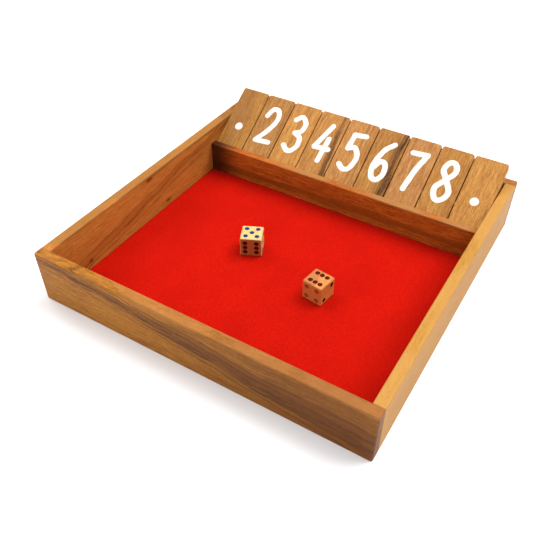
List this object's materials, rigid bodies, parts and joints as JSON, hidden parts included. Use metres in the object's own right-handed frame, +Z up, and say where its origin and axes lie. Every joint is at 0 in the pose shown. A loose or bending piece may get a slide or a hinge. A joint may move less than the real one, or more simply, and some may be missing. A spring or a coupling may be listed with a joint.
{
  "type": "flip-tile dice game tray",
  "caption": "Square open wooden tray lined with felt, with a row of hinged numbered wooden tiles leaning back on a rail along one side, and loose dice.",
  "frame": {"origin": "middle of the tray's footprint, on the plane it rests on", "axes": "+Z up, -Y the front, towards the player, with the tiles at +Y; +X to the player's right"},
  "size_m": [0.25, 0.25, 0.0563],
  "materials": {
    "frame_wood": "satin oiled hardwood with dark streaks",
    "rail_wood": "satin oiled reddish hardwood",
    "tile_wood": "satin oiled hardwood, each tile a different piece",
    "base_plywood": "unfinished thin plywood",
    "felt": "short-pile red felt",
    "rod_steel": "drawn bright",
    "dowel_wood": "plain beech",
    "brad_steel": "plain",
    "pale_die_wood": "pale satin wood",
    "tan_die_wood": "tan satin wood",
    "tile_paint": "white hand-brushed paint on the tiles",
    "pip_paint": "dark paint in the dice's dimples"
  },
  "bodies": {
    "tray": {"front_wall": "frame_wood", "back_wall": "frame_wood", "left_wall": "frame_wood", "right_wall": "frame_wood", "tile_rail": "rail_wood", "base_panel": "base_plywood", "felt_mat": "felt", "hinge_rod": "rod_steel", "corner_dowels": "dowel_wood", "base_brads": "brad_steel"},
    "tile_1_body": {"tile_1": "tile_wood"},
    "tile_2_body": {"tile_2": "tile_wood"},
    "tile_3_body": {"tile_3": "tile_wood"},
    "tile_4_body": {"tile_4": "tile_wood"},
    "tile_5_body": {"tile_5": "tile_wood"},
    "tile_6_body": {"tile_6": "tile_wood"},
    "tile_7_body": {"tile_7": "tile_wood"},
    "tile_8_body": {"tile_8": "tile_wood"},
    "tile_9_body": {"tile_9": "tile_wood"},
    "die_left_body": {"die_left": "pale_die_wood"},
    "die_right_body": {"die_right": "tan_die_wood"}
  },
  "joints": [
    {"name": "tile_1_flip", "type": "hinge", "parent": "tray", "child": "tile_1_body", "pos_m": [-0.104, 0.08641, 0.0313], "axis": [1, 0, 0], "range_deg": [0, 146.7]},
    {"name": "tile_2_flip", "type": "hinge", "parent": "tray", "child": "tile_2_body", "pos_m": [-0.078, 0.08641, 0.0313], "axis": [1, 0, 0], "range_deg": [0, 146.7]},
    {"name": "tile_3_flip", "type": "hinge", "parent": "tray", "child": "tile_3_body", "pos_m": [-0.052, 0.08641, 0.0313], "axis": [1, 0, 0], "range_deg": [0, 146.7]},
    {"name": "tile_4_flip", "type": "hinge", "parent": "tray", "child": "tile_4_body", "pos_m": [-0.026, 0.08641, 0.0313], "axis": [1, 0, 0], "range_deg": [0, 146.7]},
    {"name": "tile_5_flip", "type": "hinge", "parent": "tray", "child": "tile_5_body", "pos_m": [0, 0.08641, 0.0313], "axis": [1, 0, 0], "range_deg": [0, 146.7]},
    {"name": "tile_6_flip", "type": "hinge", "parent": "tray", "child": "tile_6_body", "pos_m": [0.026, 0.08641, 0.0313], "axis": [1, 0, 0], "range_deg": [0, 146.7]},
    {"name": "tile_7_flip", "type": "hinge", "parent": "tray", "child": "tile_7_body", "pos_m": [0.052, 0.08641, 0.0313], "axis": [1, 0, 0], "range_deg": [0, 146.7]},
    {"name": "tile_8_flip", "type": "hinge", "parent": "tray", "child": "tile_8_body", "pos_m": [0.078, 0.08641, 0.0313], "axis": [1, 0, 0], "range_deg": [0, 146.7]},
    {"name": "tile_9_flip", "type": "hinge", "parent": "tray", "child": "tile_9_body", "pos_m": [0.104, 0.08641, 0.0313], "axis": [1, 0, 0], "range_deg": [0, 146.7]},
    {"name": "die_left_lift", "type": "slide", "parent": "tray", "child": "die_left_body", "axis": [0, 0, 1], "range_m": [0, 0.05]},
    {"name": "die_right_lift", "type": "slide", "parent": "tray", "child": "die_right_body", "axis": [0, 0, 1], "range_m": [0, 0.05]}
  ]
}
